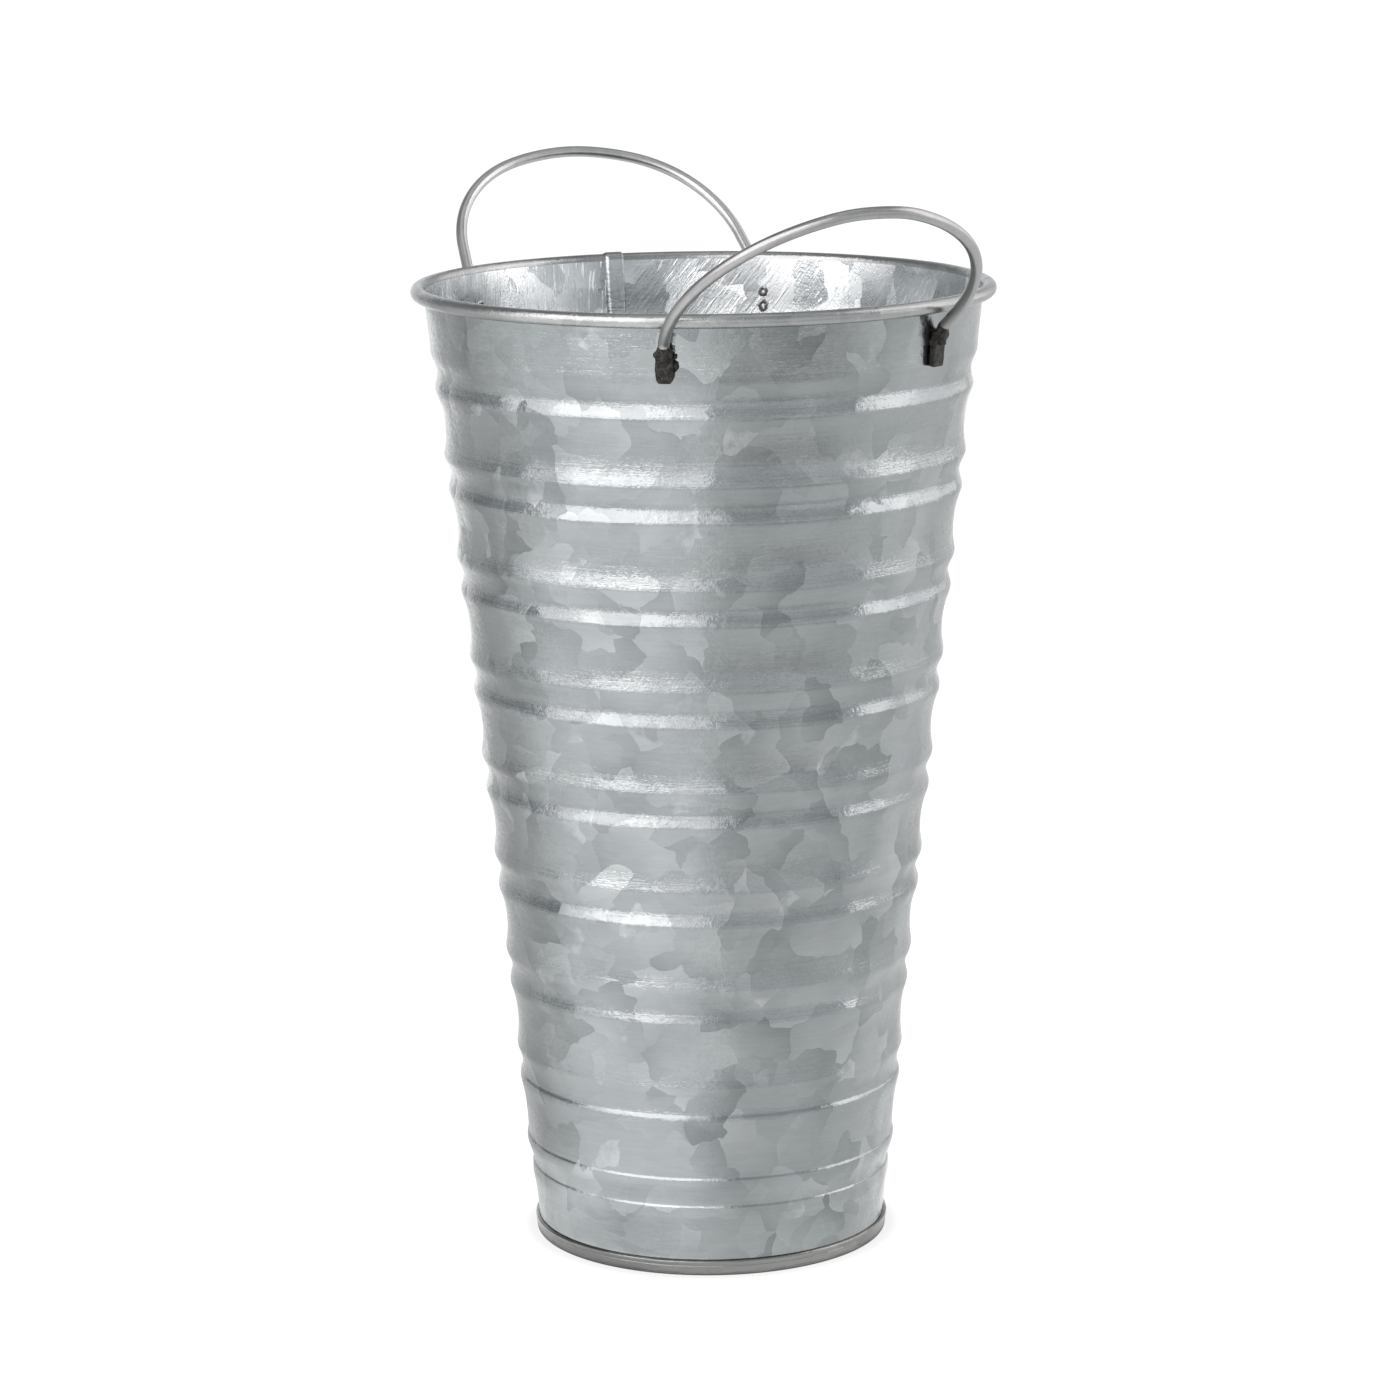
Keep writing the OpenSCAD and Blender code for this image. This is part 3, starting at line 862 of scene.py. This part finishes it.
def steel_wire(name, tone=1.0):
    """Drawn steel wire, scorched to dark scale where it was spot welded."""
    m = surface(name)
    obj, heat, along = m.place(), m.stored("scorch"), m.stored("along")
    patch = m.noise(obj, 90.0, 4, 0.65)
    grit = m.noise(obj, 900.0, 3, 0.6)
    lines_at = m.node("CombineXYZ", X=m.math("MULTIPLY", along, 0.05)).outputs[0]
    lines = m.noise(m.vec("ADD", m.vec("SCALE", obj, scale=700.0), lines_at), 1.0, 2, 0.6)
    t = m.math("MULTIPLY_ADD", patch, 0.6, m.math("MULTIPLY", lines, 0.4), clamp=True)
    colour = m.mix(t, tinted((0.28, 0.282, 0.282), tone), tinted((0.56, 0.563, 0.56), tone))
    mottle = m.ramp(m.noise(obj, 800.0, 5, 0.7), 0.34, 0.68)
    burnt = m.mix(mottle, (0.005, 0.005, 0.005, 1), (0.044, 0.042, 0.037, 1))
    edge = m.math("MULTIPLY_ADD", m.math("SUBTRACT", patch, 0.5), 0.5, heat)
    burn = m.ramp(edge, 0.35, 0.62)
    tint = m.math("MULTIPLY", m.ramp(edge, 0.04, 0.35), 0.5)
    colour = m.mix(tint, colour, (0.16, 0.145, 0.12, 1))
    colour = m.mix(burn, colour, burnt)
    rough = m.math("MULTIPLY_ADD", patch, 0.14, 0.23)
    rough = m.math("MULTIPLY_ADD", burn, 0.24, rough)
    metal = m.math("MULTIPLY_ADD", burn, -0.35, 1.0)
    coarse = m.math("MULTIPLY_ADD", burn, 1.6, 0.2)
    height = m.math("MULTIPLY_ADD", grit, coarse, m.math("MULTIPLY", patch, 0.4))
    height = m.math("MULTIPLY_ADD", mottle, m.math("MULTIPLY", burn, 1.2), height)
    m.set(Base_Color=colour, Metallic=metal, Roughness=rough, Normal=m.bump(height))
    return m.mat


def weld_scale(name):
    """Black weld scale outside; inside the wall a dark ring round bright bared metal."""
    m = surface(name)
    obj, ring = m.place(), m.stored("print_ring")
    patch = m.noise(obj, 420.0, 3, 0.6)
    grit = m.noise(obj, 1500.0, 3, 0.6)
    black = m.mix(patch, (0.008, 0.008, 0.008, 1), (0.055, 0.052, 0.047, 1))
    bright = m.mix(patch, (0.30, 0.32, 0.33, 1), (0.72, 0.74, 0.75, 1))
    inside = m.ramp(ring, 0.05, 0.2)
    dark_ring = m.ramp(m.math("MULTIPLY_ADD", m.math("SUBTRACT", patch, 0.5), 0.6, ring), 0.5, 0.8)
    printed = m.mix(dark_ring, bright, (0.11, 0.11, 0.107, 1))
    colour = m.mix(inside, black, printed)
    rough = m.math("MULTIPLY_ADD", patch, 0.25, 0.30)
    normal = m.bump(m.math("ADD", grit, patch))
    m.set(Base_Color=colour, Metallic=0.8, Roughness=rough, Normal=normal)
    return m.mat


def rim_wire_steel(name):
    """The bare steel of the wire inside the rolled rim."""
    m = surface(name)
    obj = m.place()
    patch = m.noise(obj, 60.0, 4, 0.6)
    lines = m.noise(m.vec("MULTIPLY", obj, (60, 60, 2400)), 1.0, 2)
    t = m.math("MULTIPLY_ADD", patch, 0.6, m.math("MULTIPLY", lines, 0.4), clamp=True)
    colour = m.mix(t, (0.22, 0.21, 0.20, 1), (0.50, 0.49, 0.48, 1))
    rough = m.math("MULTIPLY_ADD", patch, 0.2, 0.3)
    normal = m.bump(lines, Strength=0.3, Distance=0.0001)
    m.set(Base_Color=colour, Metallic=1.0, Roughness=rough, Normal=normal)
    return m.mat


def cover(ob, *mats, index=None):
    """Gives a piece its materials; index tells which of them each face has."""
    for mat in mats:
        ob.data.materials.append(mat)
    if index is not None:
        ob.data.polygons.foreach_set("material_index", np.asarray(index, np.int32))


sheet_mat = galvanised("galvanised_sheet_outside", contrast=0.86)
# Painted light: the inside is the same zinc as the outside, painted lighter (tone 1.86) against the
# shade inside the bucket; its scratches are real wear.
inside_mat = galvanised(
    "galvanised_sheet_inside_painted_lighter", grain=6.5, tone=1.86, tint=(1.02, 1.0, 1.0), contrast=1.15,
    roughness=0.20, tilt=0.15, rise_tilt=0.7, grit=0.02, scratch=0.85, shift=4.1,
)
rim_mat = galvanised(
    "galvanised_rim", grain=7.0, tone=1.08, tint=(1.04, 1.0, 0.98), contrast=0.6,
    roughness=0.23, tilt=0.04,
)
base_mat = galvanised(
    "galvanised_base", tone=0.80, tint=(1.07, 1.0, 0.96), contrast=0.8, roughness=0.22, tilt=0.06,
)
# Painted light: the seam strip inside is painted lighter (tone 1.55), like the inside wall, against
# the shade inside the bucket.
seam_mat = galvanised("galvanised_seam_painted_lighter", tone=1.55, roughness=0.22, tilt=0.08)
# Painted shade: the right handle's wire is the same steel as the left's but painted darker (tone
# 0.76), to offset the bright key it mirrors.
wire_mats = [steel_wire("handle_wire_steel_right_painted_darker", 0.76), steel_wire("handle_wire_steel_left")]
weld_mat = weld_scale("weld_scale")

# The wall: 0 outside, 1 inside, 2 the curl.
wall_index = np.repeat(~(outer_side & np.roll(outer_side, -1)), len(wall_columns)).astype(np.int32)
wall_index[np.repeat(wall_lengths > wall_curl_from, len(wall_columns))] = 2
cover(wall, sheet_mat, inside_mat, rim_mat, index=wall_index)
inner_floor = [
    poly.normal.z > 0.3 and poly.center.z > SEAM_H * MM for poly in base.data.polygons
]
cover(base, base_mat, inside_mat, index=inner_floor)
RIM_TOP = 2.2  # mm of the seam strip's top that have the rim's look
seam_z = np.array([seam.data.vertices[poly.vertices[0]].co.z for poly in seam.data.polygons])
cover(seam, seam_mat, rim_mat, index=seam_z > (BODY_H - RIM_TOP) * MM)
for ob, mat in zip((handle_r, handle_l), wire_mats):
    cover(ob, mat)
for ob in welds:
    cover(ob, weld_mat)

rim_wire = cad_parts["rim_wire"]
rim_wire.data.materials.clear()
cover(rim_wire, rim_wire_steel("rim_wire_steel"))

# ---------------------------------------------------------------- camera
VIEW_TURN = Matrix.Rotation(math.radians(66.9), 3, "Z")
PITCH_A, YAW_A, ROLL_A = math.radians(11.469), math.radians(0.087), math.radians(-0.503)
CAMERA_BACK, CAMERA_UP = 1.4143, 0.45696  # metres
LENS = 118.59
cam_data = bpy.data.cameras.new("camera")
cam_data.sensor_width = 36
cam_data.lens = LENS
cam_data.clip_start, cam_data.clip_end = 0.05, 60
cam = bpy.data.objects.new("camera", cam_data)
bpy.context.scene.collection.objects.link(cam)
right = Vector((math.cos(YAW_A), math.sin(YAW_A), 0))
ahead = Vector((-math.sin(YAW_A), math.cos(YAW_A), 0))
upward = Vector((0, 0, 1))
forward = ahead * math.cos(PITCH_A) - upward * math.sin(PITCH_A)
cam_up = ahead * math.sin(PITCH_A) + upward * math.cos(PITCH_A)
right_r = right * math.cos(ROLL_A) + cam_up * math.sin(ROLL_A)
up_r = cam_up * math.cos(ROLL_A) - right * math.sin(ROLL_A)
turned_axes = VIEW_TURN @ Matrix((right_r, up_r, -forward)).transposed()
cam_at = VIEW_TURN @ Vector((0, -CAMERA_BACK, CAMERA_UP))
cam.matrix_world = Matrix.Translation(cam_at) @ turned_axes.to_4x4()
bpy.context.scene.camera = cam


# ---------------------------------------------------------------- studio
MIDDLE = Vector((0, 0, 0.15))
PANEL_AWAY, PANEL_TALL, PANEL_RISE = 1.9, 1.9, 27
PANEL_COLOUR = (1.06, 1.0, 0.99)
# Each panel: azimuth, half its width seen from the bucket in degrees, radiance.
PANELS = {
    "key_left": (-74, 11, 1.5), "key": (-41, 22, 2.6), "key_right": (-8, 10, 1.4),
    "side": (91, 14, 1.9), "side_back": (126, 20, 1.15),
}
FLOOR_HALF = 40.0
WHITE = (1, 1, 1, 1)


def around(azimuth, elevation, distance):
    """A place round the bucket: azimuth from the camera's side, + to its right, in degrees."""
    a, e = math.radians(azimuth), math.radians(elevation)
    v = Vector((math.sin(a) * math.cos(e), -math.cos(a) * math.cos(e), math.sin(e)))
    return VIEW_TURN @ (v * distance) + MIDDLE


def softbox(name, azimuth, half, radiance):
    """A panel of light that faces the bucket."""
    data = bpy.data.lights.new(name, "AREA")
    wide = 2 * PANEL_AWAY * math.tan(math.radians(half))
    data.shape, data.size, data.size_y = "RECTANGLE", wide, PANEL_TALL
    data.energy, data.color = radiance * math.pi * wide * PANEL_TALL, PANEL_COLOUR
    ob = bpy.data.objects.new(name, data)
    bpy.context.scene.collection.objects.link(ob)
    ob.location = around(azimuth, PANEL_RISE, PANEL_AWAY)
    ob.rotation_mode = "QUATERNION"
    ob.rotation_quaternion = (MIDDLE - ob.location).to_track_quat("-Z", "Y")
    ob.visible_camera = False


def pool(tree, outward, azimuth, half_width, soft):
    """1 in the directions round this azimuth, 0 outside; outward is the level direction looked at."""
    aim = around(azimuth, 0, 1) - MIDDLE
    along_aim = tree.vec("DOT_PRODUCT", outward, tuple(aim))
    low, high = (math.cos(math.radians(min(180, half_width + d))) for d in (soft, -soft))
    return tree.ramp(along_aim, low, high)


def camera_sees(tree, mirrored, seen):
    """One shader for what the camera sees, the other for all that the metal mirrors."""
    both = tree.node("MixShader")
    camera_ray = tree.node("LightPath").outputs["Is Camera Ray"]
    for socket, value in zip(both.inputs, (camera_ray, mirrored, seen)):
        tree.put(socket, value)
    return both.outputs[0]


def light_the_sky(world):
    """A plain white backdrop, with a soft grey dome for the metal to mirror."""
    world.use_nodes = True
    w = Nodes(world.node_tree)
    w.nt.nodes.clear()
    sky = w.vec("NORMALIZE", w.node("TexCoord").outputs["Generated"])
    up = w.node("SeparateXYZ", Vector=sky).outputs["Z"]
    level = w.vec("NORMALIZE", w.vec("MULTIPLY", sky, (1, 1, 0)))
    dome = w.ramp(up, 0.0, 0.55, 0.74, 0.46)
    for place, darker in (((-128, 20, 14), -0.35), ((148, 16, 12), -0.25)):
        share = w.math("MULTIPLY_ADD", pool(w, level, *place), darker, 1.0)
        dome = w.math("MULTIPLY", dome, share)
    right = w.math("MULTIPLY", pool(w, level, 36, 34, 14), w.ramp(up, 0.05, 0.4, 0.26, 0.42))
    dome = w.math("MULTIPLY_ADD", dome, right, dome)
    dome = w.math("ADD", dome, w.ramp(up, 0.90, 0.97, 0.0, 0.55))
    low_back = w.ramp(up, 0.2, 0.6, 0.45, 0.0)
    dome = w.math("MULTIPLY_ADD", pool(w, level, -172, 24, 8), low_back, dome)
    mirrored = w.node("Background", Color=(0.98, 1.0, 1.02, 1), Strength=dome).outputs[0]
    seen = w.node("Background", Color=WHITE, Strength=1.05).outputs[0]
    w.put(w.node("OutputWorld").inputs["Surface"], camera_sees(w, mirrored, seen))


def pale_floor():
    """A pale floor; for the metal to mirror, its glow paints pools of light and shade round the
    bucket, standing in for the softboxes' spill.
    """
    m = surface("pale_floor")
    at = m.place()
    mottle = m.noise(at, 3.0, 2)
    level = m.vec("MULTIPLY", at, (1, 1, 0))
    outward, reach = m.vec("NORMALIZE", level), m.vec("LENGTH", level)
    # Painted light: close round the bucket the glow is brighter.
    near = m.ramp(reach, 0.05, 0.11)
    glow = m.math("MULTIPLY_ADD", near, -0.16, 1.06)
    # Each painted spill of light or shade: where it is, where it starts, how strong it is.
    key_fade = m.ramp(reach, 0.40, 0.75, 0.56, 0.33)
    far_gap = m.math("MULTIPLY", m.ramp(reach, 0.30, 0.85), m.ramp(reach, 0.95, 1.9, 1.0, -0.4))
    for place, start, strength in (
        ((-44, 36, 24), near, key_fade),
        ((122, 36, 22), near, 0.11),
        ((-130, 22, 14), near, -0.26),
        ((34, 24, 14), far_gap, -0.42),
        ((148, 18, 12), near, -0.24),
        ((-170, 22, 8), m.ramp(reach, 0.30, 1.0), 0.35),
    ):
        share = m.math("MULTIPLY", pool(m, outward, *place), start)
        glow = m.math("MULTIPLY_ADD", share, strength, glow)
    # Painted shadow: the glow is dimmed right beside the bucket's foot.
    glow = m.math("MULTIPLY", glow, m.ramp(reach, 0.0558, 0.0585, 0.35, 1.0))
    m.set(
        Base_Color=m.mix(mottle, (0.14, 0.14, 0.14, 1), (0.16, 0.16, 0.16, 1)), Roughness=0.9,
        Emission_Color=WHITE, Emission_Strength=glow, Specular_IOR_Level=0.1,
    )
    # To the camera the floor is evenly pale but for a painted contact shadow: its glow is dimmer
    # right round the foot.
    pale = m.node(
        "BsdfPrincipled", Roughness=0.9, Specular_IOR_Level=0.1, Emission_Color=WHITE,
        Base_Color=m.mix(mottle, (0.15, 0.15, 0.15, 1), (0.16, 0.16, 0.16, 1)),
        Emission_Strength=m.ramp(reach, 0.0565, 0.0620, 0.78, 0.93),
    )
    both = camera_sees(m, m.bsdf.outputs[0], pale.outputs[0])
    m.put(m.nt.nodes["Material Output"].inputs["Surface"], both)
    return m.mat


for name, (azimuth, half, radiance) in PANELS.items():
    softbox(name, azimuth, half, radiance)

world = bpy.data.worlds.new("studio")
bpy.context.scene.world = world
light_the_sky(world)

floor_me = bpy.data.meshes.new("floor")
corners = [(x * FLOOR_HALF, y * FLOOR_HALF, 0) for x, y in ((-1, -1), (1, -1), (1, 1), (-1, 1))]
floor_me.from_pydata(corners, [], [(0, 1, 2, 3)])
floor = bpy.data.objects.new("floor", floor_me)
bpy.context.scene.collection.objects.link(floor)
cover(floor, pale_floor())

view = bpy.context.scene.view_settings
view.view_transform = "Standard"
view.look = "None"
view.exposure = 0.0
